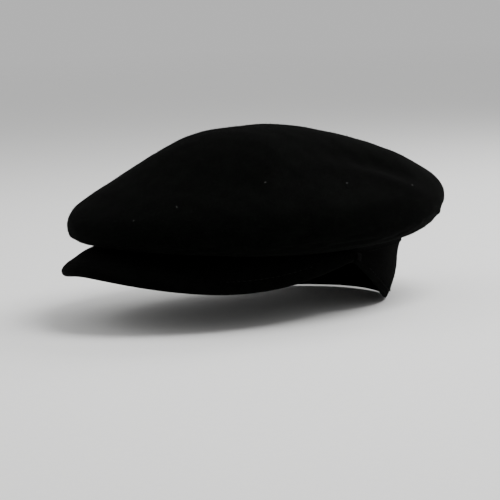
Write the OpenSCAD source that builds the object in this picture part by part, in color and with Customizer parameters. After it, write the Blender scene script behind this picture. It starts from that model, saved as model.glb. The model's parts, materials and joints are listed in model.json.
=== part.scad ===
// Soft blocked-felt flat cap: a puffed beret-like crown over a head band, with a stiff sewn-in peak.
// Millimetres. +Z is up, -Y is the front (the peak) and +X is the wearer's left.
// The origin is the centre of the head opening, in the plane where the crown meets the band.
// Angles run round the head: -90 is the front, 0 the left side, 90 the rear and 180 the right.

/* [Head seam] */
// Half width of the seam loop where the crown meets the band, outside
seam_half_w = 89; // [84:1:92]
// Seam loop from the centre to the front
seam_front = 103; // [99:1:106]
// Seam loop from the centre to the rear
seam_rear = 108; // [103:1:112]
// How far the seam rises at the forehead
seam_rise = 8; // [5:1:10]

/* [Crown] */
// Half width of the crown at its widest line
crown_half_w = 105; // [101:1:110]
// Widest line from the centre to the front
crown_front = 128; // [125:1:131]
// Widest line from the centre to the rear
crown_rear = 143; // [137:1:149]
// Height of the top above the seam
crown_top = 79; // [74:1:84]
// Height of the widest line at the front
brim_z_front = 19; // [18:1:22]
// Height of the widest line at the sides
brim_z_side = 22; // [19:1:25]
// Height of the widest line at the rear
brim_z_rear = 34; // [30:1:37]
// Thickness of the crown's felt
crown_felt = 2.2; // [1.8:0.1:2.6]

/* [Peak] */
// Half width of the peak at its ends
peak_half_w = 95; // [94:1:97]
// Reach of the peak's rim ahead of its ends
peak_reach = 155; // [149:1:161]
// Height of the rim at the tip
peak_tip_z = -3; // [-7:1:-1]
// Height of the rim at its ends, by the ears
peak_end_z = -7; // [-9:1:-5]
// How far the rim dips at each side of the tip
peak_dip = 14; // [10:0.5:16]
// Thickness of the felt over the peak's board
peak_top_felt = 1.7; // [1.4:0.1:1.9]
// Thickness of the peak's board
peak_board_t = 1.3; // [1:0.1:1.5]
// Thickness of the felt under the peak's board
peak_under_felt = 1.5; // [1.2:0.1:1.7]

/* [Neck band] */
// Depth of the neck band at the nape
band_drop = 43; // [37:1:47]
// Depth of the neck band at the ears
band_ear_drop = 8; // [7:1:10]
// Thickness of the neck band's felt
band_felt = 2.2; // [1.8:0.1:2.4]

/* [Inside] */
// Height of the grosgrain sweatband
sweat_h = 28; // [24:1:30]
// Width of the hanging tags
tag_w = 18; // [14:1:20]
// Length of the hanging tags
tag_h = 22; // [18:1:23]
// Width of the woven label
label_w = 52; // [40:1:56]
// Length of the woven label, front to rear
label_l = 30; // [24:1:34]

/* [Hidden] */

step = 6;                    // degrees between the columns of every grid
full_turn = [0 : step : 354];
air = 0.3;                   // clearance between layers that lie on each other
brim_roundness = 2.25;       // superellipse powers of the crown's and the peak's outlines
peak_roundness = 2.12;
crown_lean = 9;              // how far the top of the crown sits ahead of the widest line
roll_h = 16;                 // rise of the rounded shoulder above the widest line
roll_start = 0.75;           // share of the radius where the shoulder starts
lining_gap = 0.8;            // slack between the felt and the lining
lining_t = 0.4;
sweat_t = 0.8;
allowance = 8;               // felt turned down inside the band at the seam
ear_angle = 97;              // angle from the front at which the peak ends
peak_end_y = 12;             // the rim's ends, behind the centre
band_start = -90 + ear_angle + 2;  // the neck band starts just behind the peak's end
band_run = 45;               // degrees over which the neck band reaches its full depth
thread_r = 0.35;
thread_colour = [0.03, 0.03, 0.03];
thread_off = thread_r + 0.12;      // a stitch's centre line above the surface that it lies on
tag_t = 0.5;

allowance_inset = band_felt + air;
lining_inset = allowance_inset + crown_felt - 0.2 + air;
sweat_inset = lining_inset + lining_t + air;
inner_inset = sweat_inset + sweat_t;
lining_depth = crown_felt + lining_gap;

// ---- directions, curves and vectors ----

// A value that differs at the front, the sides and the rear, blended round the head
function around(a, front, side, rear) =
  (sin(a) < 0 ? front : rear) * pow(sin(a), 2) + side * pow(cos(a), 2);
function signed_pow(v, e) = sign(v) * pow(abs(v), e);
function unit(v) = v / max(norm(v), 0.000001);
function mix(p, q, t) = p + (q - p) * t;
function flat(rows) = [for (row = rows) each row];

// ---- the seam loop ----

function seam_z(a) = around(a, seam_rise, 1, 0);
// A point inside the seam loop by inset, at height z
function loop_point(a, inset, z) = [
  (seam_half_w - inset) * cos(a),
  ((sin(a) < 0 ? seam_front : seam_rear) - inset) * sin(a),
  z
];
function loop_normal(a) = unit([cos(a) / seam_half_w, sin(a) / (sin(a) < 0 ? seam_front : seam_rear), 0]);

// ---- the crown's outer surface ----

function brim_z(a) = around(a, brim_z_front, brim_z_side, brim_z_rear);
function brim_point(a) = [
  crown_half_w * signed_pow(cos(a), 2 / brim_roundness),
  (sin(a) < 0 ? crown_front : crown_rear) * signed_pow(sin(a), 2 / brim_roundness)
];
function ledge_power(a) = around(a, 0.65, 0.9, 0.94);
function top_power(a) = around(a, 1.19, 1.35, 1.41);
// Height of the top at share r of the way out to the widest line
function shoulder(r) = sqrt(max(0, 1 - pow(max(0, (r - roll_start) / (1 - roll_start)), 2)));
function dome_z(a, r) = brim_z(a) + roll_h * shoulder(r)
  + (crown_top - brim_z(a) - roll_h) * (1 + cos(180 * pow(r, top_power(a)))) / 2;
// s runs from 0 at the seam, out along the ledge to 1 at the widest line, then up and in to 2 at the top
function ledge_point(a, s) = let (
    out = pow(sin(90 * s), ledge_power(a)),
    up = 1 - pow(cos(90 * s), ledge_power(a)),
    from = loop_point(a, 0, 0),
    to = brim_point(a)
  ) [mix(from.x, to.x, out), mix(from.y, to.y, out), mix(seam_z(a), brim_z(a), up)];
function dome_point(a, s) = let (r = 1 - pow(s - 1, 1.8), to = brim_point(a))
  [to.x * r, to.y * r - crown_lean * (1 - r), dome_z(a, r)];
function crown_point(a, s) = s < 1 ? ledge_point(a, s) : dome_point(a, s);
function crown_normal(a, s) = unit(cross(
  crown_point(a + 1, s) - crown_point(a - 1, s),
  crown_point(a, min(s + 0.01, 1.99)) - crown_point(a, max(s - 0.01, 0.01))
));
// A point below the crown's outer surface by depth
function crown_layer(a, s, depth) = crown_point(a, s) - depth * crown_normal(a, s);
apex = [0, -crown_lean, crown_top];

// Height of the crown's top over a point near its middle
function top_z(x, y) = let (
    away = y + crown_lean * 0.85,
    u = pow(abs(x) / crown_half_w, brim_roundness / 2),
    v = pow(abs(away) / (away < 0 ? crown_front : crown_rear), brim_roundness / 2),
    a = atan2(sign(away) * v, sign(x) * u)
  ) dome_z(a, pow(u * u + v * v, 1 / brim_roundness));

// ---- the peak's upper surface ----

// q runs from -1 at the right end, through 0 at the tip, to 1 at the left end
function rim_z(q) = mix(peak_tip_z, peak_end_z, pow(abs(q), 3.2))
  - peak_dip * sin(180 * pow(abs(q), 1.62));
function rim_point(q) = [
  peak_half_w * signed_pow(cos(-90 + 90 * q), 2 / peak_roundness),
  peak_end_y + peak_reach * signed_pow(sin(-90 + 90 * q), 2 / peak_roundness),
  rim_z(q)
];
function peak_root(q) = let (a = -90 + ear_angle * q) loop_point(a, 0, seam_z(a) - 1);
// t runs from 0 at the seam to 1 at the rim
function peak_point(q, t) = let (from = peak_root(q), to = rim_point(q)) [
  mix(from.x, to.x, pow(t, 0.92)),
  mix(from.y, to.y, pow(t, 0.92)),
  mix(from.z, to.z, pow(t, 2.4))
];
function peak_normal(q, t) = unit(cross(
  peak_point(q, min(t + 0.01, 1)) - peak_point(q, max(t - 0.01, 0)),
  peak_point(min(q + 0.01, 1), t) - peak_point(max(q - 0.01, -1), t)
));
function peak_layer(q, t, depth) = peak_point(q, t) - depth * peak_normal(q, t);

// ---- the neck band's outer surface ----

// 0 at the ears and 1 along the nape
function band_share(a) = sin(90 * min(1, min(a - band_start, 180 - band_start - a) / band_run));
function band_foot(a) = -mix(band_ear_drop, band_drop, band_share(a));
// t runs from 0 at the crown to 1 at the lower edge, which hugs the neck
function band_out(a, t) = let (share = band_share(a))
  (2 + 1.6 * share) * pow(max(0, 1 - (4 - 1.6 * share) * t), 2) - share * (1.4 * t + 7 * pow(t, 3));
function band_point(a, t, inset) =
  loop_point(a, inset - band_out(a, t), mix(seam_z(a) - air, band_foot(a), t));

// ---- solids made from grids of points ----

function tri_pair(a, b, c, d) = [[a, b, c], [a, c, d]];
// A thin solid between two grids of points with the same rows and columns.
// Rows run upwards and columns run counterclockwise on the front grid, as seen from its own side.
// wrap joins the last column to the first, and tips are two points that close the top.
module skin(front, back, wrap = false, tips = []) {
  rows = len(front);
  cols = len(front[0]);
  last = wrap ? cols - 1 : cols - 2;
  half = rows * cols;
  function f(i, j) = i * cols + j % cols;
  function b(i, j) = half + f(i, j);
  sides = [for (i = [0 : rows - 2], j = [0 : last]) each concat(
    tri_pair(f(i, j), f(i + 1, j), f(i + 1, j + 1), f(i, j + 1)),
    tri_pair(b(i, j), b(i, j + 1), b(i + 1, j + 1), b(i + 1, j))
  )];
  foot = [for (j = [0 : last]) each tri_pair(f(0, j), f(0, j + 1), b(0, j + 1), b(0, j))];
  top = rows - 1;
  head = len(tips) == 0
    ? [for (j = [0 : last]) each tri_pair(f(top, j + 1), f(top, j), b(top, j), b(top, j + 1))]
    : [for (j = [0 : last]) each [
        [f(top, j), 2 * half, f(top, j + 1)],
        [b(top, j), b(top, j + 1), 2 * half + 1]
      ]];
  end = cols - 1;
  ends = wrap ? [] : [for (i = [0 : rows - 2]) each concat(
    tri_pair(f(i + 1, 0), f(i, 0), b(i, 0), b(i + 1, 0)),
    tri_pair(f(i, end), f(i + 1, end), b(i + 1, end), b(i, end))
  )];
  polyhedron(concat(flat(front), flat(back), tips), concat(sides, foot, head, ends), convexity = 8);
}

// ---- stitches ----

module stitch(from, to) {
  run = to - from;
  translate(from)
    rotate([0, acos(run.z / norm(run)), atan2(run.y, run.x)])
      cylinder(h = norm(run), r = thread_r, $fn = 6);
}
// A point part of the way along a line of points
function along(line, x) = mix(line[floor(x)], line[min(floor(x) + 1, len(line) - 1)], x - floor(x));
// A running stitch along a line of points, two stitches between each pair
module stitch_line(line) {
  for (j = [0 : len(line) - 2], k = [0, 1])
    stitch(along(line, j + (k + 0.2) / 2), along(line, j + (k + 0.8) / 2));
}

// ---- crown, band and lining ----

ledge_s = [0.12, 0.3, 0.5, 0.7, 0.85];
dome_s = [1, 1.22, 1.34, 1.45, 1.55, 1.65, 1.75, 1.84, 1.92];
crown_s = concat(ledge_s, dome_s);
module crown() {
  outer = concat(
    [for (z = [-allowance, 0]) [for (a = full_turn) loop_point(a, allowance_inset, seam_z(a) + z)]],
    [for (s = crown_s) [for (a = full_turn) crown_point(a, s)]]
  );
  inner = concat(
    [for (z = [-allowance, 1.5]) [for (a = full_turn)
      loop_point(a, allowance_inset + crown_felt - 0.2, seam_z(a) + z)]],
    [for (s = crown_s) [for (a = full_turn) crown_layer(a, s, crown_felt)]]
  );
  color([0.07, 0.07, 0.075]) skin(outer, inner, wrap = true, tips = [apex, apex - [0, 0, crown_felt]]);
}

band_angles = [for (j = [0 : 26]) mix(band_start, 180 - band_start, j / 26)];
band_t = [1, 0.8, 0.6, 0.4, 0.2, 0];
module neck_band() {
  color([0.075, 0.075, 0.08]) skin(
    [for (t = band_t) [for (a = band_angles) band_point(a, t, 0)]],
    [for (t = band_t) [for (a = band_angles) band_point(a, t, band_felt)]]
  );
}
edge_row_t = 0.8;             // where the hem's row runs, as a share of the band's depth
module neck_band_stitches() {
  color(thread_colour) stitch_line([for (a = band_angles) band_point(a, edge_row_t, -thread_off)]);
}

lining_split = 1.45;          // where the lining's side panels meet its top
side_s = [0.3, 0.6, 0.85, 1, 1.22, 1.34, 1.44];
side_gap = 0.4;
module lining_side(from, to) {
  angles = [for (j = [0 : 28]) mix(from + side_gap, to - side_gap, j / 28)];
  function rows(depth, inset) = concat(
    [for (z = [-allowance + 1, 3]) [for (a = angles) loop_point(a, inset, seam_z(a) + z)]],
    [for (s = side_s) [for (a = angles) crown_layer(a, s, depth)]]
  );
  skin(rows(lining_depth, lining_inset), rows(lining_depth + lining_t, lining_inset + lining_t));
}
module lining_left() {
  color([0.16, 0.16, 0.18]) lining_side(-90, 90);
}
module lining_right() {
  color([0.16, 0.16, 0.18]) lining_side(90, 270);
}
module lining_top() {
  top_s = [lining_split + 0.01, 1.6, 1.72, 1.83, 1.92];
  under = [0, 0, lining_depth];
  color([0.18, 0.18, 0.2]) skin(
    [for (s = top_s) [for (a = full_turn) crown_layer(a, s, lining_depth)]],
    [for (s = top_s) [for (a = full_turn) crown_layer(a, s, lining_depth + lining_t)]],
    wrap = true, tips = [apex - under, apex - under - [0, 0, lining_t]]
  );
}

label_sag = 1.1;              // the label lies this far under the lining's curve, clear of its facets
label_y = 16;                 // middle of the label, behind the centre
label_t = 0.4;
module woven_label() {
  xs = [for (i = [-3 : 3]) label_w * i / 6];
  ys = [for (i = [-2 : 2]) label_y + label_l * i / 4];
  function rows(depth) = [for (y = ys) [for (x = xs) [x, y, top_z(x, y) - depth]]];
  depth = lining_depth + lining_t + label_sag;
  color([0.3, 0.3, 0.31]) skin(rows(depth + label_t), rows(depth));
}
module label_stitches() {
  depth = lining_depth + lining_t + label_sag + label_t + thread_off;
  margin = [2, 1.5];          // from the label's corners to the first stitches
  pitch = 4;
  run = 2.5;
  color([0.5, 0.5, 0.5])
    for (x = [-1, 1], y = [-1, 1], k = [0 : 2]) {
      from = x * (label_w / 2 - margin.x - pitch * k);
      to = from - x * run;
      across = label_y + y * (label_l / 2 - margin.y);
      stitch([from, across, top_z(from, across) - depth], [to, across, top_z(to, across) - depth]);
    }
}

// ---- sweatband ----

function sweat_low(a) = seam_z(a) - around(a, 4, 9, 22);
module sweatband() {
  function rows(inset) = [for (k = [0, 0.5, 1]) [for (a = full_turn)
    loop_point(a, inset, sweat_low(a) + sweat_h * k)]];
  color([0.1, 0.1, 0.11]) skin(rows(sweat_inset), rows(sweat_inset + sweat_t), wrap = true);
}
join_from = 84;               // the ribbon's ends lap between these angles, at the nape
join_to = 96;
module sweatband_join() {
  angles = [join_from, (join_from + join_to) / 2, join_to];
  function rows(inset) = [for (k = [0.04, 0.96]) [for (a = angles)
    loop_point(a, inset, sweat_low(a) + sweat_h * k)]];
  color([0.12, 0.12, 0.13]) skin(rows(inner_inset + 0.1), rows(inner_inset + 0.7));
}
module sweatband_stitches() {
  row_rise = 2;               // from the sweatband's lower edge up to the row
  function row_point(a) = loop_point(a, inner_inset + thread_off, sweat_low(a) + row_rise);
  color(thread_colour) for (a = full_turn) if (a < join_from || a >= join_to)
    stitch_line([row_point(a), row_point(a + step)]);
}
// The row just below the crown that holds its turned-down edge to the neck band
seam_row_t = 0.2;
module crown_seam_stitches() {
  line = [for (a = band_angles) band_point(a, seam_row_t, -thread_off)];
  color(thread_colour) stitch_line([for (j = [1 : len(line) - 2]) line[j]]);
}
// Bar tacks that anchor the two ends of the peak to the crown and the neck band
module ear_tack_stitches() {
  first = band_start + 1.5;
  pitch = 1.1;
  off = thread_off + 0.25;    // the tacks lie over the corner's curve
  color(thread_colour) for (side = [0, 1], k = [0 : 3]) mirror([side, 0, 0]) {
    a = first + pitch * k;
    stitch(band_point(a, 0.3, -off), band_point(a, 0.75, -off));
  }
}

// ---- peak ----

peak_q = [for (j = [-17 : 17]) j / 17];
peak_t = [0, 0.15, 0.35, 0.55, 0.75, 0.9, 1];
board_top = peak_top_felt + 0.1;
under_top = board_top + peak_board_t + 0.1;
// The board thins towards the rim, where the two covers meet
function rim_close(t) = t < 0.9 ? 1 : 1 - (t - 0.9) / 0.1;
function under_depth(t) = mix(board_top, under_top, rim_close(t));
module peak_top_cover() {
  color([0.07, 0.07, 0.075]) skin(
    [for (t = peak_t) [for (q = peak_q) peak_layer(q, t, peak_top_felt)]],
    [for (t = peak_t) [for (q = peak_q) peak_layer(q, t, 0)]]
  );
}
module peak_board() {
  board_t = [0.03, 0.15, 0.35, 0.55, 0.75, 0.9];
  board_q = [for (j = [-16.6, each [for (k = [-16 : 16]) k], 16.6]) j / 17];
  color([0.55, 0.5, 0.42]) skin(
    [for (t = board_t) [for (q = board_q) peak_layer(q, t, board_top + peak_board_t)]],
    [for (t = board_t) [for (q = board_q) peak_layer(q, t, board_top)]]
  );
}
module peak_under_cover() {
  color([0.065, 0.065, 0.07]) skin(
    [for (t = peak_t) [for (q = peak_q) peak_layer(q, t, under_depth(t) + peak_under_felt)]],
    [for (t = peak_t) [for (q = peak_q) peak_layer(q, t, under_depth(t))]]
  );
}
module peak_edge_stitches() {
  line = [for (q = peak_q) peak_layer(q, 0.9, -thread_off - 0.1)];
  color(thread_colour) stitch_line([for (j = [1 : len(line) - 2]) line[j]]);
}

// ---- tags that hang from the top of the sweatband ----

module hanging_tag(a, w, h) {
  top = sweat_low(a) + sweat_h - 1;
  sag = 0.8;                  // room for the sweatband's curve behind a flat tag
  out = loop_normal(a);
  translate(loop_point(a, inner_inset + sag, top))
    rotate([0, 0, atan2(out.y, out.x)])
      translate([-tag_t, -w / 2, -h]) cube([tag_t, w, h]);
}
module size_tag() {
  color([0.75, 0.75, 0.74]) hanging_tag(120, tag_w, tag_h - 3);
}
module care_tag() {
  color([0.8, 0.8, 0.79]) hanging_tag(60, tag_w + 2, tag_h);
}

crown();
neck_band();
lining_top();
lining_left();
lining_right();
sweatband();
sweatband_join();
woven_label();
label_stitches();
neck_band_stitches();
crown_seam_stitches();
sweatband_stitches();
ear_tack_stitches();
peak_top_cover();
peak_board();
peak_under_cover();
peak_edge_stitches();
size_tag();
care_tag();
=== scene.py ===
"""The looks of a blocked-felt flat cap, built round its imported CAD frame.

Lengths in the shape formulas are millimetres, and MM turns them into the frame's metres.
Angles run round the head in degrees: -90 is the front, 0 the wearer's left, 90 the rear.
"""

import json

import bmesh
import bpy
import numpy as np
from mathutils import Matrix, Vector
from mathutils.bvhtree import BVHTree


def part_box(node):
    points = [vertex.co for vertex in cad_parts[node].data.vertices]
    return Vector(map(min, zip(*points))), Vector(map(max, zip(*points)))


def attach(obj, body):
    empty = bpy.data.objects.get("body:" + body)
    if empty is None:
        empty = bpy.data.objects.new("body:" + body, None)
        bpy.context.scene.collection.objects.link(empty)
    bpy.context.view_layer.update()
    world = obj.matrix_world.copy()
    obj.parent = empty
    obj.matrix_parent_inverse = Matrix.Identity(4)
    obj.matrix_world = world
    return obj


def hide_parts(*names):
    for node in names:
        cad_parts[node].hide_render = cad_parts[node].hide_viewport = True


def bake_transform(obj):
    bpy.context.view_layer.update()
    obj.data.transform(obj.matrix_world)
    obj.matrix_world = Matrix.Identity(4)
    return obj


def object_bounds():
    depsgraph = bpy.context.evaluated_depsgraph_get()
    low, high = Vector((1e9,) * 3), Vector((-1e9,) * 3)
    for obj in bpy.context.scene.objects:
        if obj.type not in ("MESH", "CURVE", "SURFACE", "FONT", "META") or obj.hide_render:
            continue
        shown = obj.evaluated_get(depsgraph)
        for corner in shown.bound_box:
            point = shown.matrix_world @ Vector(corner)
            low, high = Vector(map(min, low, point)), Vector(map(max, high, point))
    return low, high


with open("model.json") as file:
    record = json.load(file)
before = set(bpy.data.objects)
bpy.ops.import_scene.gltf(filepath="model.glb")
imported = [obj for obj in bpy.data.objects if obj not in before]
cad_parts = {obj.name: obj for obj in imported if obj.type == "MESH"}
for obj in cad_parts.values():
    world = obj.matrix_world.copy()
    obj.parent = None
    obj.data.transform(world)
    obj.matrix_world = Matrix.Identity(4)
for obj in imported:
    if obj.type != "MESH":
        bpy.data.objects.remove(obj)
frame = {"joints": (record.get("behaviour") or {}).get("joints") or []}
cad_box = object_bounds()

MM = 0.001


def box_mm(node):
    """Lowest and highest corner of a CAD node, in millimetres."""
    return [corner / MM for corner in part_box(node)]


# ---------------------------------------------------------------- sizes from the frame
crown_lo, crown_hi = box_mm("crown")
peak_lo, peak_hi = box_mm("peak_top_cover")
band_lo = box_mm("neck_band")[0]
label_lo, label_hi = box_mm("woven_label")

CROWN_HALF_W, CROWN_FRONT = crown_hi.x, -crown_lo.y
CROWN_REAR, CROWN_TOP = crown_hi.y, crown_hi.z
SEAM_HALF_W, SEAM_FRONT, SEAM_REAR = 89.0, 103.0, 108.0
SEAM_RISE = 8.0
CROWN_LEAN = 9.0  # the crown's top sits this far ahead of its widest line
BRIM_Z = (19.0, 22.0, 34.0)  # height of the widest line: front, sides, rear
ROLL_H, ROLL_START = 16.0, 0.75
BRIM_ROUNDNESS, PEAK_ROUNDNESS = 2.25, 2.12  # superellipse powers of the two outlines
LEDGE_POWER = (0.65, 0.9, 0.94)  # how squarely the ledge turns up: front, sides, rear
TOP_POWER = (1.19, 1.35, 1.41)  # how full the top is: front, sides, rear
CROWN_FELT, BAND_FELT = 2.2, 2.2
AIR = 0.3

PEAK_HALF_W, PEAK_END_Y = peak_hi.x, 12.0
PEAK_REACH = PEAK_END_Y - peak_lo.y
# the rim's height at its tip, 1.2 mm below the CAD's, and at its ends, its dip, and the peak's half angle
PEAK_TIP_Z, PEAK_END_Z, PEAK_DIP, EAR_ANGLE = -4.2, -7.0, 14.0, 97.0
PEAK_END_POWER, PEAK_DIP_POWER = 3.2, 1.62  # where along the rim it turns to its end, and where it dips most
PEAK_TUCK = 3.0  # how far the rim's ends close in on the head
PEAK_FELT, BOARD_T = 1.7, 1.2
PEAK_DEPTH, RIM_R = 6.6, 3.7  # from the top cover to the under one, and the radius of the rolled rim
PEAK_ROOT = 2.0  # the peak starts this far inside the seam
STITCH_MARGIN = 6.0  # from the peak's rim in to its row of stitches

BAND_DROP, BAND_EAR_DROP = -band_lo.z, 8.0
BAND_START, BAND_RUN = 9.0, 45.0

LINING_DEPTH, LINING_T = 3.0, 0.4
LINING_INSET, SWEAT_INSET, SWEAT_T, SWEAT_H = 4.8, 5.5, 0.8, 28.0
THREAD_R = 0.3


# ---------------------------------------------------------------- small maths
def sind(a):
    return np.sin(np.radians(a))


def cosd(a):
    return np.cos(np.radians(a))


def signed_pow(v, e):
    return np.sign(v) * np.abs(v) ** e


def mix(p, q, t):
    return p + (q - p) * t


def smooth(x, low, high):
    """0 below low, 1 above high, eased between."""
    t = np.clip((x - low) / (high - low), 0, 1)
    return t * t * (3 - 2 * t)


def bell(x, width):
    return np.exp(-((x / width) ** 2))


def around(a, front, side, rear):
    """A value that differs at the front, the sides and the rear, blended round the head."""
    return np.where(sind(a) < 0, front, rear) * sind(a) ** 2 + side * cosd(a) ** 2


def points(x, y, z):
    return np.stack(np.broadcast_arrays(x, y, z), axis=-1).astype(float)


def unit(v):
    return v / np.maximum(np.linalg.norm(v, axis=-1, keepdims=True), 1e-9)


def wobble(p, wavelength, seed, waves=9):
    """Soft irregular waves through space, about -1 to 1, the same on every run."""
    rng = np.random.default_rng(seed)
    directions = unit(rng.normal(size=(waves, 3)))
    lengths = wavelength * rng.uniform(0.7, 1.5, waves)
    phases = rng.uniform(0, 2 * np.pi, waves)
    turns = p @ (directions / lengths[:, None]).T * 2 * np.pi + phases
    return np.sin(turns).sum(-1) / np.sqrt(waves)


def grid_normals(grid, wrap):
    """Unit normals of a grid of points, rows by columns; wrap closes the columns into a ring."""
    if wrap:
        ring = np.concatenate([grid[:, -1:], grid, grid[:, :1]], axis=1)
        across = np.gradient(ring, axis=1)[:, 1:-1]
    else:
        across = np.gradient(grid, axis=1)
    normals = unit(np.cross(across, np.gradient(grid, axis=0)))
    tiny = np.linalg.norm(across, axis=-1) < 1e-6
    normals[tiny] = (0, 0, 1)
    return normals


# ---------------------------------------------------------------- the cap's surfaces
def seam_z(a):
    return around(a, SEAM_RISE, 1, 0)


def loop(a, inset, z):
    """Points inside the head seam by inset, at height z."""
    length = np.where(sind(a) < 0, SEAM_FRONT, SEAM_REAR) - inset
    return points((SEAM_HALF_W - inset) * cosd(a), length * sind(a), z)


def loop_normal(a):
    length = np.where(sind(a) < 0, SEAM_FRONT, SEAM_REAR)
    return unit(points(cosd(a) / SEAM_HALF_W, sind(a) / length, 0))


def crown_surface(a, s):
    """s runs from 0 at the seam, along the ledge to 1 at the widest line, then to 2 at the top."""
    brim_x = CROWN_HALF_W * signed_pow(cosd(a), 2 / BRIM_ROUNDNESS)
    brim_y = np.where(sind(a) < 0, CROWN_FRONT, CROWN_REAR) * signed_pow(sind(a), 2 / BRIM_ROUNDNESS)
    brim_z = around(a, *BRIM_Z)
    power = around(a, *LEDGE_POWER)
    turn = 90 * np.clip(s, 0, 1)
    out, up = sind(turn) ** power, 1 - np.abs(cosd(turn)) ** power
    start = loop(a, 0, 0)
    ledge_x, ledge_y = mix(start[..., 0], brim_x, out), mix(start[..., 1], brim_y, out)
    ledge = points(ledge_x, ledge_y, mix(seam_z(a), brim_z, up))
    r = 1 - np.clip(s - 1, 0, 1) ** 1.8
    shoulder = np.sqrt(np.clip(1 - (np.clip(r - ROLL_START, 0, 1) / (1 - ROLL_START)) ** 2, 0, 1))
    bulge = (1 + np.cos(np.pi * r ** around(a, *TOP_POWER))) / 2
    height = brim_z + ROLL_H * shoulder + (CROWN_TOP - brim_z - ROLL_H) * bulge
    dome = points(brim_x * r, brim_y * r - CROWN_LEAN * (1 - r), height)
    return np.where(np.asarray(s)[..., None] < 1, ledge, dome)


def peak_rim(q):
    x = PEAK_HALF_W * signed_pow(cosd(-90 + 90 * q), 2 / PEAK_ROUNDNESS)
    x = x - np.sign(q) * PEAK_TUCK * np.abs(q) ** 10
    y = PEAK_END_Y + PEAK_REACH * signed_pow(sind(-90 + 90 * q), 2 / PEAK_ROUNDNESS)
    z = mix(PEAK_TIP_Z, PEAK_END_Z, np.abs(q) ** PEAK_END_POWER)
    z = z - PEAK_DIP * sind(180 * np.abs(q) ** PEAK_DIP_POWER)
    return points(x, y, z)


def peak_surface(q, t):
    """q runs from -1 at the right end to 1 at the left end, and t from 0 at the seam to 1 at the rim."""
    a = -90 + EAR_ANGLE * q
    root, rim = loop(a, PEAK_ROOT, seam_z(a) - 1), peak_rim(q)
    out, down = np.asarray(t)[..., None] ** 0.92, np.asarray(t) ** 2.4
    flat = mix(root[..., :2], rim[..., :2], out)
    return points(flat[..., 0], flat[..., 1], mix(root[..., 2], rim[..., 2], down))


def band_share(a):
    """0 at the ears and 1 along the nape."""
    run = np.minimum(a - BAND_START, 180 - BAND_START - a) / BAND_RUN
    return sind(90 * np.clip(run, 0, 1))


def band_surface(a, t, inset=0.0):
    """t runs from 0 at the crown to 1 at the lower edge."""
    share = band_share(a)
    flare = (2 + 1.6 * share) * np.clip(1 - (4 - 1.6 * share) * t, 0, 1) ** 2
    out = flare - share * (1.4 * t + 7 * t**3)
    foot = -mix(BAND_EAR_DROP, BAND_DROP, share)
    return loop(a, inset - out, mix(seam_z(a) - AIR, foot, t))


def sweat_low(a):
    return seam_z(a) - around(a, 4, 9, 22)


# ---------------------------------------------------------------- meshes
def make_object(name, verts_mm, faces, material, weld=True):
    """A smooth-shaded object from points in millimetres; weld joins points that coincide."""
    mesh = bpy.data.meshes.new(name)
    mesh.from_pydata((np.asarray(verts_mm).reshape(-1, 3) * MM).tolist(), [], faces)
    if weld:
        bm = bmesh.new()
        bm.from_mesh(mesh)
        bmesh.ops.remove_doubles(bm, verts=bm.verts, dist=1e-6)
        bmesh.ops.recalc_face_normals(bm, faces=bm.faces)
        bm.to_mesh(mesh)
        bm.free()
    mesh.polygons.foreach_set("use_smooth", [True] * len(mesh.polygons))
    obj = bpy.data.objects.new(name, mesh)
    bpy.context.scene.collection.objects.link(obj)
    mesh.materials.append(material)
    return obj


def grid_faces(rows, cols, wrap, base=0, flip=False):
    i, j = np.meshgrid(np.arange(rows - 1), np.arange(cols if wrap else cols - 1), indexing="ij")
    k = (j + 1) % cols
    quads = np.stack([i * cols + j, i * cols + k, (i + 1) * cols + k, (i + 1) * cols + j], -1).reshape(-1, 4)
    return ((quads[:, ::-1] if flip else quads) + base).tolist()


EDGE_TURNS = np.radians([30, 60, 90])


def extend(mid, normals, share, axis, at_end, radius):
    """Adds rows or columns past one edge, where the sheet's thickness rounds off to nothing."""
    pick = (lambda g, i: np.take(g, [i], axis=axis))
    edge, inner = (-1, -2) if at_end else (0, 1)
    out = unit(pick(mid, edge) - pick(mid, inner))
    parts = [[mid], [normals], [share]]
    for turn in EDGE_TURNS:
        moved, thinner = pick(mid, edge) + out * radius * np.sin(turn), pick(share, edge) * np.cos(turn)
        new = [moved, pick(normals, edge), thinner]
        for part, item in zip(parts, new):
            part.insert(len(part) if at_end else 0, item)
    return [np.concatenate(part, axis=axis) for part in parts]


def felt_sheet(name, outer, thickness, material, wrap=False, tip=False):
    """A solid sheet with rounded edges.
    outer is the grid of its outer face, and tip closes its last row to a point."""
    normals = grid_normals(outer, wrap)
    mid = outer - normals * thickness / 2
    share = np.ones(mid.shape[:2] + (1,))
    mid, normals, share = extend(mid, normals, share, 0, False, thickness / 2)
    if not tip:
        mid, normals, share = extend(mid, normals, share, 0, True, thickness / 2)
    if not wrap:
        for at_end in (False, True):
            mid, normals, share = extend(mid, normals, share, 1, at_end, thickness / 2)
    share[share < 1e-6] = 0
    half = normals * share * thickness / 2
    rows, cols = mid.shape[:2]
    verts = np.concatenate([(mid + half).reshape(-1, 3), (mid - half).reshape(-1, 3)])
    faces = grid_faces(rows, cols, wrap) + grid_faces(rows, cols, wrap, rows * cols, flip=True)
    return make_object(name, verts, faces, material)


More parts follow.
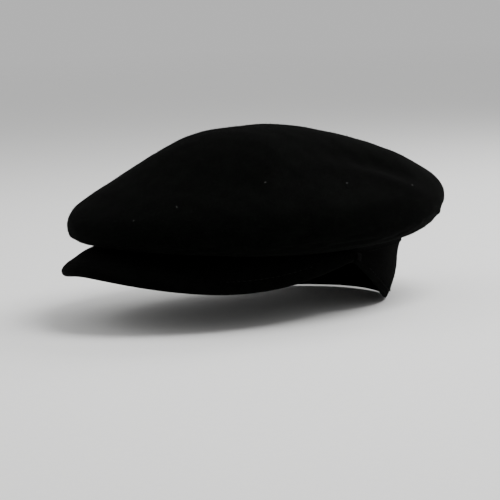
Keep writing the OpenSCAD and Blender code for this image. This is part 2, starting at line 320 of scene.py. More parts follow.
def tubes(name, paths, radii, sides, material, up):
    """Many thin tubes as one object. paths is tubes by rings by 3, and radii is one number per ring."""
    count, rings = paths.shape[:2]
    along = unit(np.gradient(paths, axis=1))
    side = unit(np.cross(along, up))
    over = np.cross(side, along)
    turn = 2 * np.pi * np.arange(sides) / sides
    spokes = side[:, :, None] * np.cos(turn)[:, None] + over[:, :, None] * np.sin(turn)[:, None]
    verts = paths[:, :, None] + spokes * np.asarray(radii)[None, :, None, None]
    per = rings * sides
    wall = np.array(grid_faces(rings, sides, True)).reshape(1, -1, 4)
    shift = (np.arange(count) * per)[:, None, None]
    ends = np.array([np.arange(sides)[::-1], np.arange(sides) + per - sides])[None]
    faces = (wall + shift).reshape(-1, 4).tolist() + (ends + shift).reshape(-1, sides).tolist()
    return make_object(name, verts, faces, material, weld=False)


def stitches(name, surface, count, first, last, material, fill=0.66, radius=THREAD_R, lift=0.1):
    """Running stitches along surface(x), which gives points and normals for x from first to last.
    Each stitch is two twisted plies that arch over the cloth and dive into it at both ends."""
    pitch = (last - first) / count
    starts = first + pitch * (np.arange(count) + (1 - fill) / 2)
    steps = np.linspace(0, 1, 9)
    x = starts[:, None] + pitch * fill * steps
    p, n = surface(x)
    side = unit(np.cross(np.gradient(p, axis=1), n))
    height = lift + radius * (1 - 2.6 * np.abs(2 * steps - 1) ** 4)
    plies = []
    for phase in (0, np.pi):
        turn = 1.6 * np.pi * steps + phase
        off = n * (height + radius * 0.45 * np.sin(turn))[None, :, None]
        plies.append(p + off + side * (radius * 0.45 * np.cos(turn))[None, :, None])
    radii = radius * 0.62 * (1 - 0.35 * np.abs(2 * steps - 1) ** 6)
    return tubes(name, np.concatenate(plies), radii, 6, material, np.concatenate([n, n]))


# ---------------------------------------------------------------- materials
class Nodes:
    """A short way to write a node tree."""

    def __init__(self, name):
        self.material = bpy.data.materials.new(name)
        self.material.use_nodes = True
        self.tree = self.material.node_tree
        self.shader = self.tree.nodes["Principled BSDF"]

    def add(self, kind, settings=(), **inputs):
        node = self.tree.nodes.new(kind)
        for key, value in dict(settings).items():
            setattr(node, key, value)
        for key, value in inputs.items():
            socket = node.inputs[key.replace("_", " ")]
            self.put(socket, value)
        return node

    def put(self, socket, value):
        if isinstance(value, bpy.types.NodeSocket):
            self.tree.links.new(value, socket)
        else:
            socket.default_value = value

    def noise(self, coords, scale, detail=3.0, rough=0.55, distort=0.0):
        size = {"Scale": scale, "Detail": detail, "Roughness": rough, "Distortion": distort}
        return self.add("ShaderNodeTexNoise", Vector=coords, **size).outputs["Fac"]

    def ramp(self, fac, stops):
        node = self.add("ShaderNodeValToRGB", Fac=fac)
        elements = node.color_ramp.elements
        while len(elements) < len(stops):
            elements.new(0.5)
        for element, (at, colour) in zip(elements, stops):
            element.position = at
            element.color = (*colour, 1)
        return node.outputs["Color"]

    def math(self, kind, a, b, clamp=False):
        node = self.tree.nodes.new("ShaderNodeMath")
        node.operation, node.use_clamp = kind, clamp
        self.put(node.inputs[0], a)
        self.put(node.inputs[1], b)
        return node.outputs[0]

    def coords(self, stretch=(1, 1, 1)):
        place = self.add("ShaderNodeTexCoord").outputs["Object"]
        return self.add("ShaderNodeMapping", Vector=place, Scale=stretch).outputs["Vector"]

    def bump(self, height, strength, distance, normal=None):
        node = self.add("ShaderNodeBump", Height=height, Strength=strength, Distance=distance)
        if normal is not None:
            self.put(node.inputs["Normal"], normal)
        return node.outputs["Normal"]


def shade(grey, warm=0.0):
    return (grey * (1 + warm), grey, grey * (1 - warm * 0.6))


def felt(name, dark, light, sheen, nap=1.0):
    """Brushed wool felt: matted fibres, a mottled press and a few paler loose fibres."""
    m = Nodes(name)
    place = m.coords()
    matting = m.noise(place, 1500, 6, 0.7, 1.5)
    clumps = m.noise(place, 520, 5, 0.72, 0.8)
    mottle = m.noise(place, 90, 4, 0.6, 0.4)
    broad = m.noise(place, 18, 2, 0.5)
    strand_a = m.noise(m.coords((500, 2600, 900)), 1, 3, 0.6, 2.0)
    strand_b = m.noise(m.coords((2600, 700, 500)), 1, 3, 0.6, 2.0)
    strands = m.math("MAXIMUM", strand_a, strand_b)
    tone = m.math("ADD", m.math("MULTIPLY", matting, 0.25), m.math("MULTIPLY", mottle, 0.25))
    tone = m.math("ADD", tone, m.math("MULTIPLY", clumps, 0.35))
    tone = m.math("ADD", tone, m.math("MULTIPLY", broad, 0.15))
    base = m.ramp(tone, [(0.4, dark), (0.6, light)])
    pale = m.ramp(strands, [(0.66, (0, 0, 0)), (0.80, (1, 1, 1))])
    lint = tuple(c * 3.2 for c in light)
    blend = m.tree.nodes.new("ShaderNodeMix")
    blend.data_type = "RGBA"
    m.put(blend.inputs[0], m.math("MULTIPLY", pale, 0.55))
    m.put(blend.inputs[6], base)
    blend.inputs[7].default_value = (*lint, 1)
    m.put(m.shader.inputs["Base Color"], blend.outputs[2])
    rough = m.ramp(matting, [(0.3, shade(0.82)), (0.7, shade(0.98))])
    m.put(m.shader.inputs["Roughness"], rough)
    coarse = m.bump(m.math("ADD", mottle, m.math("MULTIPLY", broad, 0.5)), 0.5, 0.0006 * nap)
    coarse = m.bump(clumps, 0.7, 0.0005 * nap, coarse)
    fine = m.bump(m.math("ADD", matting, m.math("MULTIPLY", strands, 0.8)), 0.75, 0.00035 * nap, coarse)
    m.put(m.shader.inputs["Normal"], fine)
    m.shader.inputs["Specular IOR Level"].default_value = 0.012
    m.shader.inputs["Sheen Weight"].default_value = sheen
    m.shader.inputs["Sheen Roughness"].default_value = 0.5
    m.shader.inputs["Sheen Tint"].default_value = (0.62, 0.66, 0.62, 1)
    return m.material


def woven(name, dark, light, along, across, rough, sheen, gloss=0.3, ways="ZX"):
    """A fine weave: threads of about 1/along and 1/across metres, with slubs."""
    m = Nodes(name)
    place = m.coords()
    wavy = {"Vector": place, "Distortion": 0.6, "Detail": 1.0}
    warp = m.add("ShaderNodeTexWave", {"bands_direction": ways[0]}, Scale=along, **wavy)
    weft = m.add("ShaderNodeTexWave", {"bands_direction": ways[1]}, Scale=across, **wavy)
    weave = m.math("MULTIPLY", warp.outputs["Fac"], weft.outputs["Fac"])
    slub = m.noise(place, 220, 4, 0.6, 0.3)
    tone = m.math("ADD", m.math("MULTIPLY", weave, 0.4), m.math("MULTIPLY", slub, 0.6))
    m.put(m.shader.inputs["Base Color"], m.ramp(tone, [(0.25, dark), (0.7, light)]))
    worn = m.ramp(slub, [(0.3, shade(rough - 0.08)), (0.7, shade(rough + 0.08))])
    m.put(m.shader.inputs["Roughness"], worn)
    m.put(m.shader.inputs["Normal"], m.bump(weave, 0.35, 0.00012, m.bump(slub, 0.3, 0.0004)))
    m.shader.inputs["Specular IOR Level"].default_value = gloss
    m.shader.inputs["Sheen Weight"].default_value = sheen
    m.shader.inputs["Sheen Roughness"].default_value = 0.35
    return m.material


def thread(name, dark, light):
    m = Nodes(name)
    ply = m.noise(m.coords(), 2600, 3, 0.6, 1.0)
    m.put(m.shader.inputs["Base Color"], m.ramp(ply, [(0.35, dark), (0.65, light)]))
    m.put(m.shader.inputs["Normal"], m.bump(ply, 0.5, 0.0001))
    m.shader.inputs["Roughness"].default_value = 0.75
    m.shader.inputs["Specular IOR Level"].default_value = 0.04
    m.shader.inputs["Sheen Weight"].default_value = 0.01
    return m.material


def board(name):
    """Pressed buff board, grainy and slightly blotched."""
    m = Nodes(name)
    place = m.coords()
    grain = m.noise(place, 900, 5, 0.65)
    blotch = m.noise(place, 60, 3, 0.5)
    tone = m.math("ADD", m.math("MULTIPLY", grain, 0.5), m.math("MULTIPLY", blotch, 0.5))
    m.put(m.shader.inputs["Base Color"], m.ramp(tone, [(0.3, (0.42, 0.36, 0.27)), (0.7, (0.56, 0.5, 0.4))]))
    m.put(m.shader.inputs["Normal"], m.bump(grain, 0.4, 0.0002))
    m.shader.inputs["Roughness"].default_value = 0.8
    return m.material


# The band's felt and the peak's felt are darker copies of the crown's felt, the peak's the darkest: painted
# shade for the lower parts of the cap.
CROWN_MATERIAL = felt("crown_wool_felt", (0.0002, 0.0002, 0.0002), (0.0016, 0.002, 0.0016), 0.005)
BAND_SHADED_MATERIAL = felt("band_wool_felt_painted_shade", (0.0002, 0.0002, 0.0002), (0.0016, 0.0019, 0.0016), 0.004)
PEAK_SHADED_MATERIAL = felt("peak_wool_felt_painted_shade", (0.0002, 0.0002, 0.0002), (0.0014, 0.0016, 0.0014), 0.003, nap=0.8)
LINING_MATERIAL = woven("lining_satin", shade(0.012, -0.03), shade(0.03, -0.04), 3000, 900, 0.36, 0.1, 0.6)
RIBBON_MATERIAL = woven("grosgrain", shade(0.010), shade(0.024), 2600, 1600, 0.6, 0.2)
LABEL_MATERIAL = woven("label_weave", shade(0.07), shade(0.13), 1500, 1500, 0.55, 0.2, ways="YX")
TAG_MATERIAL = woven("tag_satin", shade(0.55, 0.02), shade(0.72, 0.01), 2600, 2600, 0.45, 0.2)
DARK_THREAD = thread("dark_thread", shade(0.0015), shade(0.004))
# The stray fibres are coloured several times lighter than the felt: a painted sheen that gives the silhouette
# a pale halo.
NAP_SHEEN_MATERIAL = thread("wool_fibre_painted_sheen", shade(0.002), shade(0.012))
LINT_MATERIAL = thread("pale_lint", shade(0.12), shade(0.3))
LABEL_THREAD = thread("label_thread", shade(0.16), shade(0.3))
BOARD_MATERIAL = board("peak_board_fibre")


# ---------------------------------------------------------------- how pieces move
def flex(obj, node):
    """A piece baked into the frame's space, with its CAD node hidden."""
    if node:
        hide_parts(node)
    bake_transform(obj)
    return obj


def fixed(obj, node, body="cap"):
    if node:
        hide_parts(node)
    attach(obj, body)
    return obj


# ---------------------------------------------------------------- settling under gravity
def settle(grid, pinned, frames, stiffness, slack, cap):
    """Lets a grid of cloth settle by simulation and returns it, no point moved more than cap millimetres."""
    rows, cols = grid.shape[:2]
    cloth = make_object("settling", grid, grid_faces(rows, cols, True), LINING_MATERIAL, weld=False)
    group = cloth.vertex_groups.new(name="held")
    for weight in np.unique(pinned[pinned > 0]):
        group.add(np.flatnonzero(pinned.ravel() == weight).tolist(), float(weight), "REPLACE")
    modifier = cloth.modifiers.new("Cloth", "CLOTH")
    modifier.settings.quality = 6
    modifier.settings.mass = 0.25
    modifier.settings.tension_stiffness = stiffness
    modifier.settings.compression_stiffness = stiffness
    modifier.settings.shear_stiffness = stiffness / 3
    modifier.settings.bending_stiffness = stiffness / 30
    modifier.settings.air_damping = 4
    modifier.settings.vertex_group_mass = "held"
    modifier.settings.shrink_min = -slack
    modifier.point_cache.frame_start, modifier.point_cache.frame_end = 1, frames
    for number in range(1, frames + 1):
        bpy.context.scene.frame_set(number)
    shape = cloth.evaluated_get(bpy.context.evaluated_depsgraph_get())
    settled = np.array([v.co for v in shape.data.vertices]).reshape(grid.shape) / MM
    bpy.data.objects.remove(cloth)
    bpy.context.scene.frame_set(1)
    move = settled - grid
    size = np.linalg.norm(move, axis=-1, keepdims=True)
    return grid + move * np.minimum(1, cap / np.maximum(size, 1e-9))


def resample(values, rows, cols):
    """Bilinear resampling of a ring-shaped grid of values to rows by cols."""
    ring = np.concatenate([values, values[:, :1]], axis=1)
    r = np.linspace(0, values.shape[0] - 1, rows)[:, None]
    c = (np.arange(cols) * values.shape[1] / cols)[None, :]
    r0, c0 = np.minimum(r.astype(int), values.shape[0] - 2), c.astype(int)
    fr, fc = (r - r0)[..., None], (c - c0)[..., None]
    low = mix(ring[r0, c0], ring[r0, c0 + 1], fc)
    high = mix(ring[r0 + 1, c0], ring[r0 + 1, c0 + 1], fc)
    return mix(low, high, fr)


# ---------------------------------------------------------------- the crown
CROWN_COLS, LEDGE_ROWS, DOME_ROWS = 264, 30, 84
CROWN_ANGLES = np.arange(CROWN_COLS) * 360 / CROWN_COLS
LEDGE_S, DOME_S = np.linspace(0.02, 1, LEDGE_ROWS, endpoint=False), np.linspace(1, 2, DOME_ROWS)
CROWN_S = np.concatenate([LEDGE_S, DOME_S])


DROOP_OUT, DROOP_DOWN, SWELL_OUT = 2.2, 3.4, 0.6
FOLD_FROM, FOLD_TO = np.array([60.0, 26.0]), np.array([82.0, 84.0])  # a soft fold down the left rear


def crown_shape(a, s):
    """The crown's surface with the irregular hang of real felt, softened out near the seam and the top."""
    base = crown_surface(a, s)
    # the blocked edge droops behind both ears and swells a little at the front
    droop = smooth(sind(a), 0.1, 0.6) * bell(np.abs(a - 90) - 28, 36) * bell(s - 1, 0.3)
    swell = smooth(-sind(a), 0.2, 0.8) * bell(s - 1, 0.3)
    out = DROOP_OUT * droop + SWELL_OUT * swell
    base = base + points(out * cosd(a), out * sind(a), -DROOP_DOWN * droop)
    normals = grid_normals(base, True)
    free = smooth(s, 0.1, 0.8)
    push = 0.3 * wobble(base, 105, 11) + 0.26 * wobble(base, 42, 12) + 0.12 * wobble(base, 17, 13)
    x, y = base[..., 0], base[..., 1]
    top = smooth(s, 1.02, 1.2)
    # the fold: a ridge beside a hollow
    run = unit(FOLD_TO - FOLD_FROM)
    along = (x - FOLD_FROM[0]) * run[0] + (y - FOLD_FROM[1]) * run[1]
    beside = (x - FOLD_FROM[0]) * -run[1] + (y - FOLD_FROM[1]) * run[0]
    reach = bell(along - 30, 34) * top
    push = push + reach * (1.3 * bell(beside + 9, 8) - 2.6 * bell(beside - 3, 10))
    brow = 0.4 * bell(y + 94, 24) - 0.9 * bell(x - 34, 30) * bell(y + 74, 22)
    hollows = -1.5 * bell(np.abs(x) - 27, 22) * bell(y + 36, 22)
    middle = 0.9 + 0.9 * bell(x + 6, 60) * bell(y - 4, 50)
    rear_sides = 3.2 * bell(np.hypot(np.abs(x) - 50, y - 80), 26)
    push = push + (brow + middle + rear_sides) * top + hollows
    return base + normals * (push * free)[..., None]


def make_crown():
    a = CROWN_ANGLES[None, :]
    body = crown_shape(*np.broadcast_arrays(a, CROWN_S[:, None]))
    coarse = body[::3, ::3]
    pinned = np.zeros(coarse.shape[:2])
    pinned[:4], pinned[4:9] = 1, 0.6
    settled = settle(coarse, pinned, 12, 60, 0.004, 1.2)
    body = body + resample(settled - coarse, *body.shape[:2])
    body[-1] = body[-1].mean(0)
    turned = [(-8.0, 2.6), (-5.0, 2.6), (-2.4, 2.5), (-0.9, 2.1), (-0.1, 1.1)]
    lip = np.concatenate([loop(a, inset, seam_z(a) + z) for z, inset in turned])
    outer = np.concatenate([lip, body])
    return felt_sheet("crown_felt", outer, CROWN_FELT, CROWN_MATERIAL, wrap=True, tip=True), body


# ---------------------------------------------------------------- the peak
def peak_top(q, t):
    base = peak_surface(q, t)
    normals = -grid_normals(base, False)
    free = smooth(t, 0.05, 0.35)
    stitch_dip = -0.3 * bell(t - np.clip(stitch_t(q), 0.4, 1), 0.018)
    full = 1.6 * bell(t - 0.86, 0.12) * bell(q, 0.45)  # a fuller edge at the tip
    return base + normals * (free * 0.3 * wobble(base, 60, 21) + stitch_dip + full)[..., None]


def peak_grid(rows_t, cols=181):
    q = np.linspace(-1, 1, cols)
    return np.meshgrid(rows_t, q, indexing="ij")[::-1]


def peak_edge(q):
    """At the rim: the way out across it, in the peak's surface, and how fast t covers it, in mm."""
    rim = peak_surface(q, 0 * q + 1)
    run = (rim - peak_surface(q, 0 * q + 0.97)) / 0.03
    tangent = unit(np.gradient(rim, axis=-2))
    across = run - tangent * (run * tangent).sum(-1, keepdims=True)
    speed = np.linalg.norm(across, axis=-1)
    out = across / speed[..., None]
    up = unit(np.cross(out, tangent))
    return out, np.where(up[..., 2:] < 0, -up, up), speed


def peak_body(q):
    """1 along most of the peak, falling at its ends, where the covers close together."""
    return 1 - 0.6 * smooth(np.abs(q), 0.9, 1)


def make_peak_top():
    q, t = peak_grid(np.linspace(0, 1, 64))
    out, up, speed = peak_edge(q[0])
    radius = RIM_R * peak_body(q[0])
    top = peak_top(q, t * (1 - radius / speed))
    turns = np.radians(np.linspace(12, 132, 11))
    reach = radius[:, None]
    roll = [top[-1] + out * reach * np.sin(turn) - up * reach * (1 - np.cos(turn)) for turn in turns]
    outer = np.concatenate([top, np.array(roll)])
    return felt_sheet("peak_top_felt", outer[:, ::-1], PEAK_FELT, PEAK_SHADED_MATERIAL), top[:, ::-1]


def make_peak_under():
    q, t = peak_grid(np.linspace(0, 1, 48))
    speed = peak_edge(q[0])[2]
    t = t * (1 - (RIM_R + 0.6) / speed)
    top = peak_surface(q, t)
    up = -grid_normals(top, False)
    ripple = 0.15 * wobble(top, 40, 31) - 0.2 * bell(t - 0.84, 0.02)
    depth = mix(PEAK_FELT + 0.4, PEAK_DEPTH, (peak_body(q) - 0.4) / 0.6)
    under = top - up * (depth + ripple * smooth(t, 0.05, 0.3))[..., None]
    return felt_sheet("peak_under_felt", under, PEAK_FELT - 0.3, PEAK_SHADED_MATERIAL)


def make_peak_board():
    q, t = peak_grid(np.linspace(0.04, 0.86, 24), 121)
    top = peak_surface(q * 0.88, t)
    up = -grid_normals(top, False)
    return felt_sheet("peak_board_sheet", (top - up * (PEAK_FELT + 0.1))[:, ::-1], BOARD_T, BOARD_MATERIAL)


def stitch_t(q):
    width = np.linalg.norm(peak_rim(q) - peak_surface(q, 0 * q), axis=-1)
    return 1 - STITCH_MARGIN / width


def on_peak(x):
    t = stitch_t(x)
    along = peak_surface(x + 0.002, t) - peak_surface(x - 0.002, t)
    inward = peak_surface(x, t - 0.01) - peak_surface(x, t + 0.01)
    normal = unit(np.cross(along, inward))
    return peak_surface(x, t) - normal * 0.3, normal


# ---------------------------------------------------------------- the neck band
BAND_EDGE_MARGIN, BAND_SEAM_MARGIN = 4.2, 3.4  # its stitch rows, from its lower edge and from its top


def make_neck_band():
    a = np.linspace(BAND_START - 7, 180 - BAND_START + 7, 251)
    t, a = np.meshgrid(np.linspace(1, 0, 56), a, indexing="ij")
    base = band_surface(a, t)
    normals = grid_normals(base, False)
    share = band_share(a)
    push = 0.4 * wobble(base, 55, 41) * smooth(t, 0.1, 0.5) + 0.12 * wobble(base, 18, 42)
    above_edge = (1 - t) * mix(BAND_EAR_DROP, BAND_DROP, share)
    push = push - 0.3 * bell(above_edge - BAND_EDGE_MARGIN, 0.9) * smooth(share, 0.05, 0.3)
    from_ear = [smooth(way, BAND_START - 3, BAND_START + 2) for way in (a, 180 - a)]
    tuck = 2.6 * (1 - from_ear[0] * from_ear[1])
    outer = base + normals * (push - tuck)[..., None]
    return felt_sheet("neck_band_felt", outer, BAND_FELT, BAND_SHADED_MATERIAL), outer


def on_band(drop):
    """A line on the neck band, drop millimetres above its lower edge, or below its top when negative."""
    def surface(a):
        depth = mix(BAND_EAR_DROP, BAND_DROP, band_share(a))
        t = 1 - drop / depth if drop > 0 else -drop / depth
        p = band_surface(a, t)
        return p, unit(np.cross(band_surface(a + 0.2, t) - band_surface(a - 0.2, t),
                                band_surface(a, t - 0.02) - band_surface(a, t + 0.02)))
    return surface


def make_ear_tacks():
    paths, ups = [], []
    steps = np.linspace(0, 1, 9)
    for side in (1, -1):
        for k in range(6):
            a = BAND_START + 1.4 + 0.36 * k + 0.08 * np.sin(7 * k)
            t = mix(0.25, 0.78, steps) + 0.02 * np.sin(5 * k)
            p = band_surface(np.full(9, a), t)
            n = loop_normal(np.full(9, a))
            p = p + n * (0.25 - 0.8 * np.abs(2 * steps - 1) ** 4)[:, None]
            paths.append(p * (side, 1, 1))
            ups.append(n * (side, 1, 1))
    return tubes("ear_tacks", np.array(paths), np.full(9, 0.24), 6, DARK_THREAD, np.array(ups))


# ---------------------------------------------------------------- the lining
LINING_ROWS, LINING_SPLIT = 34, 1.45


def lining_surface(skin):
    """The whole lining as one settled grid inside the crown's finished skin, and each row's s."""
    side_s, dome_s = np.linspace(0.3, 1, 10, endpoint=False), np.linspace(1, 2, LINING_ROWS)
    rows_s = np.concatenate([side_s, dome_s])
    at = np.interp(rows_s, CROWN_S, np.arange(len(CROWN_S)))
    low = np.minimum(at.astype(int), len(CROWN_S) - 2)
    outer = mix(skin[low], skin[low + 1], (at - low)[:, None, None])
    inward = -grid_normals(outer, True)
    a = CROWN_ANGLES[None, :]
    s = rows_s[:, None]
    pleats = 0.55 * np.cos(np.radians(a) * 34) * bell(s - LINING_SPLIT, 0.12)
    tuck = np.abs(pleats + 0.4 * wobble(outer, 26, 51) * (s < LINING_SPLIT))
    body = outer + inward * (LINING_DEPTH + tuck)[..., None]
    foot = [loop(CROWN_ANGLES, LINING_INSET, seam_z(CROWN_ANGLES) + z) for z in (-7.0, 2.5)]
    grid = np.concatenate([np.array(foot), body])
    rows_s = np.concatenate([[0, 0.1], rows_s])
    pinned = np.zeros(grid.shape[:2])
    pinned[:4] = 1
    pinned[np.abs(rows_s - LINING_SPLIT) < 0.03] = 0.35
    settled = settle(grid, pinned, 16, 4, 0.03, 4.5)
    # the felt above keeps the lining from rising
    drop = np.maximum(((settled - grid)[2:] * inward).sum(-1, keepdims=True), 0)
    grid[2:] += inward * drop
    grid[-1] = grid[-1].mean(0)
    return grid, rows_s


def make_lining(skin):
    grid, rows_s = lining_surface(skin)
    split = int(np.argmax(rows_s >= LINING_SPLIT))
    turned = np.roll(grid, CROWN_COLS // 4, axis=1)
    sides = np.concatenate([turned, turned[:, :1]], axis=1)[: split + 1]
    half = CROWN_COLS // 2
    cloth = (LINING_T, LINING_MATERIAL)
    return {
        "lining_left": felt_sheet("lining_left_satin", sides[:, : half + 1], *cloth),
        "lining_right": felt_sheet("lining_right_satin", sides[:, half:], *cloth),
        "lining_top": felt_sheet("lining_top_satin", grid[split:], *cloth, wrap=True, tip=True),
    }


# ---------------------------------------------------------------- the sweatband
RIBS = 460


def ribbon(a, rise, inset):
    """The ribbon's face: ribs across its width, a slight lean, and a gentle wave along its free edge."""
    rib = 0.11 * np.cos(np.radians(a) * RIBS)
    wave = 0.12 * np.sin(np.radians(a) * 9) + 0.1 * np.sin(np.radians(a) * 17 + 1)
    wave = smooth(rise, 0.4, 1) * wave
    return loop(a, inset + rib + np.abs(wave), sweat_low(a) + SWEAT_H * rise)


def make_sweatband():
    a = np.arange(RIBS * 5) * 360 / (RIBS * 5)
    rise, a = np.meshgrid(np.linspace(0.02, 0.98, 9), a, indexing="ij")
    face = ribbon(a, rise, SWEAT_INSET)
    return felt_sheet("sweatband_ribbon", face, SWEAT_T - 0.2, RIBBON_MATERIAL, wrap=True)


def make_sweatband_join():
    a = np.linspace(84, 96, 77)
    rise, a = np.meshgrid(np.linspace(0.05, 0.95, 24), a, indexing="ij")
    fold = 0.5 * bell(np.abs(a - 90) - 5.5, 0.8)
    face = ribbon(a, rise, SWEAT_INSET + SWEAT_T + 0.45 + fold)
    return felt_sheet("sweatband_join_ribbon", face, 0.5, RIBBON_MATERIAL)


def on_ribbon(height):
    def surface(a):
        n = -loop_normal(a)
        return loop(a, SWEAT_INSET + SWEAT_T + 0.05, sweat_low(a) + height), n
    return surface


# ---------------------------------------------------------------- label and tags
LABEL_T, LABEL_MARGIN = 0.45, 1.6


def cloth_tree(obj):
    mesh = obj.data
    return BVHTree.FromPolygons([v.co for v in mesh.vertices], [list(p.vertices) for p in mesh.polygons])


def label_height(tree, x, y):
    """Height of the label's visible face, just below the lining, with one corner hanging a little free."""
    up = Vector((0, 0, 1))
    feet = [Vector((px, py, 0)) * MM for px, py in zip(np.ravel(x), np.ravel(y))]
    lining_z = np.array([tree.ray_cast(foot, up)[0].z / MM for foot in feet]).reshape(np.shape(x))
    return lining_z - LABEL_T - 0.1 - 0.5 * bell(np.hypot(x - label_hi.x, y - label_lo.y), 9)


def make_label(tree):
    x = np.linspace(label_lo.x, label_hi.x, 79)
    y = np.linspace(label_lo.y, label_hi.y, 47)
    y, x = np.meshgrid(y, x, indexing="ij")
    edge = np.minimum(np.minimum(x - label_lo.x, label_hi.x - x), np.minimum(y - label_lo.y, label_hi.y - y))
    border = 0.16 * bell(edge - 3.6, 0.5) + 0.1 * bell(edge - 4.8, 0.35)
    z = label_height(tree, x, y) - border
    return felt_sheet("woven_label_cloth", points(x, y, z)[:, ::-1], LABEL_T, LABEL_MATERIAL)


def make_label_stitches(tree):
    left, right = label_lo.x + LABEL_MARGIN, label_hi.x - LABEL_MARGIN
    front, rear = label_lo.y + LABEL_MARGIN, label_hi.y - LABEL_MARGIN
    ring = np.array([(left, front), (right, front), (right, rear), (left, rear)])
    sides = np.linalg.norm(np.roll(ring, -1, axis=0) - ring, axis=1)
    marks = np.concatenate([[0], np.cumsum(sides)])
    closed = np.concatenate([ring, ring[:1]])

    def surface(x):
        px, py = np.interp(x, marks, closed[:, 0]), np.interp(x, marks, closed[:, 1])
        return points(px, py, label_height(tree, px, py) - 0.3), points(0 * px, 0 * px, -1)

    return stitches("label_stitching", surface, 58, 1.2, marks[-1], LABEL_THREAD, radius=0.24)


TAG_TOP, TAG_SHARE = 0.6, 0.97  # the tape starts this far below its hinge, and fills this share of its height


def make_tag(name, node, joint):
    """A folded tape that hangs from the top of the sweatband, its loop closed at the foot."""
    lo, hi = box_mm(node)
    hinge = [j for j in frame["joints"] if j["name"] == joint][0]
    pivot, axis = Vector(hinge["pos_m"]) / MM, Vector(hinge["axis"]).normalized()
    inward = Vector((0, 0, 1)).cross(axis).normalized()
    if inward.dot(Vector((lo + hi) / 2) - pivot) < 0:
        inward = -inward
    height = pivot.z - lo.z
    wide = abs((hi - lo).x * axis.x) + abs((hi - lo).y * axis.y)
    half_w = (wide - abs(inward.x * axis.x)) / 2 * 0.98
    down = np.linspace(0, 1, 22)
    low = height * TAG_SHARE
    drop = TAG_TOP + (low - TAG_TOP) * down
    back = np.stack([0.15 + 0.25 * np.sin(np.pi * down), -drop], 1)
    turn = np.radians(np.linspace(15, 165, 8))
    foot = np.stack([0.55 - 0.45 * np.cos(turn), -low - 0.45 * np.sin(turn)], 1)
    front = np.stack([1.0 + 0.35 * np.sin(np.pi * down) - 0.6 * (1 - down), -drop], 1)[::-1]
    profile = np.concatenate([back, foot, front])
    across = np.linspace(-half_w, half_w, 25)
    grid = np.zeros((len(profile), len(across), 3))
    curl = 0.012 * (across / half_w) ** 2
    for i, (inn, dz) in enumerate(profile):
        bend = 1.6 * (dz / height) ** 2
        place = np.array(pivot)[None] + np.outer(across, np.array(axis)) + np.array([0, 0, dz])
        grid[i] = place + np.array(inward)[None] * (inn + bend + curl[:, None] * -dz)
    return felt_sheet(name, grid, 0.2, TAG_MATERIAL)


# ---------------------------------------------------------------- loose fibres
def make_fibres(name, surface_grid, wrap, count, seed, length, material):
    """Short stray wool fibres that stand off the felt at all angles."""
    rng = np.random.default_rng(seed)
    normals = grid_normals(surface_grid, wrap)
    rows, cols = surface_grid.shape[:2]
    i, j = rng.integers(1, rows - 1, count), rng.integers(1, cols - 1, count)
    foot, up = surface_grid[i, j], normals[i, j]
    lean = unit(rng.normal(size=(count, 3)))
    lean = unit(lean - up * (lean * up).sum(-1, keepdims=True))
    size = rng.uniform(0.35, 1, count) ** 2 * length
    steps = np.linspace(0, 1, 5)[None, :, None]
    rise = rng.uniform(0.25, 0.9, count)[:, None, None]
    path = foot[:, None] - up[:, None] * 0.1 + (
        up[:, None] * (rise * np.sin(steps * 2.2)) + lean[:, None] * steps * (1.3 - rise)
        + unit(np.cross(up, lean))[:, None] * 0.35 * np.sin(steps * 4) * rise) * size[:, None, None]
    radii = np.array([0.045, 0.045, 0.04, 0.032, 0.02])
    return tubes(name, path, radii, 3, material, np.repeat(up[:, None], 5, axis=1))


def make_lint(skin):
    """A few pale specks and short threads caught in the crown's nap."""
    spots = [(-60, 1.34), (-22, 1.5), (8, 1.42), (-75, 1.2), (30, 1.25)]
    spots += [(150, 1.4), (-140, 1.6), (100, 1.3), (75, 1.7)]
    rng = np.random.default_rng(71)
    normals = grid_normals(skin, True)
    paths, ups = [], []
    for a, s in spots:
        row = int(np.interp(s, CROWN_S, np.arange(len(CROWN_S))))
        column = int(a % 360 / 360 * CROWN_COLS)
        foot, up = skin[row, column], normals[row, column]
        way = unit(np.cross(up, rng.normal(size=3)))
        bend = unit(np.cross(up, way))
        x = np.linspace(-0.5, 0.5, 5)[:, None] * rng.uniform(0.5, 2.2)
        paths.append(foot + up * 0.25 + way * x + bend * x**2 * rng.uniform(-0.5, 0.5))
        ups.append(np.repeat(up[None], 5, axis=0))
    radii = np.array([0.05, 0.09, 0.11, 0.09, 0.05])
    return tubes("crown_lint", np.array(paths), radii, 5, LINT_MATERIAL, np.array(ups))


# ---------------------------------------------------------------- camera, light and floor
VIEW_AZIMUTH, VIEW_ELEVATION, VIEW_ROLL = 51.5, 7.6, 2.16
VIEW_DISTANCE, LENS = 1.5, 158.0
VIEW_AIM_RIGHT, VIEW_AIM_UP = -0.001, -0.0055


def make_camera():
    turn, rise, roll = np.radians([VIEW_AZIMUTH, VIEW_ELEVATION, VIEW_ROLL])
    right = Vector((np.cos(turn), np.sin(turn), 0))
    back = Vector((np.sin(turn) * np.cos(rise), -np.cos(turn) * np.cos(rise), np.sin(rise)))
    up = back.cross(right)
    aim = right * VIEW_AIM_RIGHT + up * VIEW_AIM_UP
    across = right * np.cos(roll) - up * np.sin(roll)
    upward = right * np.sin(roll) + up * np.cos(roll)
    data = bpy.data.cameras.new("camera")
    data.lens, data.sensor_width = LENS, 36
    camera = bpy.data.objects.new("camera", data)
    bpy.context.scene.collection.objects.link(camera)
    turned = Matrix((across, upward, back)).transposed().to_4x4()
    camera.matrix_world = Matrix.Translation(aim + back * VIEW_DISTANCE) @ turned
    bpy.context.scene.camera = camera


def make_light(name, place, size, power):
    data = bpy.data.lights.new(name, "AREA")
    data.shape, data.size, data.energy = "SQUARE", size, power
    light = bpy.data.objects.new(name, data)
    bpy.context.scene.collection.objects.link(light)
    light.location = place
    light.rotation_mode = "QUATERNION"
    light.rotation_quaternion = (-Vector(place)).to_track_quat("-Z", "Y")


FLOOR_SIZE = 6.0


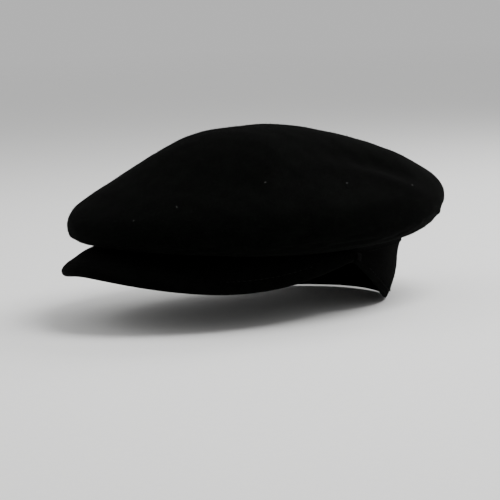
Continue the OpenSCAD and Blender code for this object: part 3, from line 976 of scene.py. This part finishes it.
def floor_material():
    """Pale paper that fades into the backdrop further out, so that no horizon shows."""
    m = Nodes("pale_floor")
    place = m.add("ShaderNodeTexCoord").outputs["Object"]
    away = m.add("ShaderNodeVectorMath", {"operation": "LENGTH"})
    m.put(away.inputs[0], place)
    grain = m.noise(place, 260, 3, 0.6)
    paper = m.ramp(grain, [(0.3, (0.85, 0.85, 0.84)), (0.7, (0.87, 0.87, 0.86))])
    m.put(m.shader.inputs["Base Color"], paper)
    m.put(m.shader.inputs["Normal"], m.bump(grain, 0.2, 0.0002))
    m.shader.inputs["Roughness"].default_value = 0.9
    share = m.math("DIVIDE", away.outputs["Value"], FLOOR_SIZE)
    fade = m.ramp(share, [(0.12, (0, 0, 0)), (0.7, (1, 1, 1))])
    clear = m.add("ShaderNodeBsdfTransparent")
    both = m.add("ShaderNodeMixShader")
    m.put(both.inputs[0], fade)
    m.put(both.inputs[1], m.shader.outputs[0])
    m.put(both.inputs[2], clear.outputs[0])
    m.put(m.tree.nodes["Material Output"].inputs["Surface"], both.outputs[0])
    return m.material


def make_stage():
    size, floor_z = FLOOR_SIZE, cad_box[0].z - 0.0015
    mesh = bpy.data.meshes.new("floor")
    corners = [(x, y, floor_z) for x, y in ((-size, -size), (size, -size), (size, size), (-size, size))]
    mesh.from_pydata(corners, [], [(0, 1, 2, 3)])
    mesh.materials.append(floor_material())
    floor = bpy.data.objects.new("floor", mesh)
    bpy.context.scene.collection.objects.link(floor)
    world = bpy.data.worlds.new("studio")
    world.use_nodes = True
    world.node_tree.nodes["Background"].inputs["Color"].default_value = (1, 1, 1, 1)
    world.node_tree.nodes["Background"].inputs["Strength"].default_value = 0.6
    bpy.context.scene.world = world
    make_light("key", (0.55, 0.25, 1.1), 0.8, 17)
    make_light("fill", (-0.9, -0.7, 0.7), 0.9, 4)
    make_light("back", (-0.2, 1.1, 0.8), 0.7, 9)


make_camera()
make_stage()

crown, crown_skin = make_crown()
flex(crown, "crown")
peak_top_piece, peak_skin = make_peak_top()
flex(peak_top_piece, "peak_top_cover")
peak_under_piece = flex(make_peak_under(), "peak_under_cover")
peak_board_piece = flex(make_peak_board(), "peak_board")
peak_row = stitches("peak_edge_stitching", on_peak, 96, -0.86, 0.86, DARK_THREAD)
flex(peak_row, "peak_edge_stitches")
band, band_skin = make_neck_band()
fixed(band, "neck_band")
edge_from, seam_from = BAND_START + 9, BAND_START + 7
edge_line, seam_line = on_band(BAND_EDGE_MARGIN), on_band(-BAND_SEAM_MARGIN)
edge_row = stitches("neck_band_stitching", edge_line, 74, edge_from, 180 - edge_from, DARK_THREAD)
fixed(edge_row, "neck_band_stitches")
seam_row = stitches("crown_seam_stitching", seam_line, 70, seam_from, 180 - seam_from, DARK_THREAD)
fixed(seam_row, "crown_seam_stitches")
fixed(make_ear_tacks(), "ear_tack_stitches")
lining = make_lining(crown_skin)
lining_tree = cloth_tree(lining["lining_top"])
for node, piece in lining.items():
    flex(piece, node)
sweatband = flex(make_sweatband(), "sweatband")
sweatband_lap = fixed(make_sweatband_join(), "sweatband_join")
sweat_row = stitches("sweatband_stitching", on_ribbon(1.8), 150, -266, 83, DARK_THREAD)
flex(sweat_row, "sweatband_stitches")
label = fixed(make_label(lining_tree), "woven_label")
fixed(make_label_stitches(lining_tree), "label_stitches")
size_tag = fixed(make_tag("size_tag_tape", "size_tag", "size_tag_hinge"), "size_tag", "size_tag")
care_tag = fixed(make_tag("care_tag_tape", "care_tag", "care_tag_hinge"), "care_tag", "care_tag")
crown_nap = make_fibres("crown_nap", crown_skin, True, 9000, 61, 1.5, NAP_SHEEN_MATERIAL)
flex(crown_nap, None)
peak_nap = make_fibres("peak_nap", peak_skin, False, 2200, 62, 1.1, NAP_SHEEN_MATERIAL)
flex(peak_nap, None)
band_nap = make_fibres("band_nap", band_skin, False, 2200, 63, 1.2, NAP_SHEEN_MATERIAL)
fixed(band_nap, None)
flex(make_lint(crown_skin), None)
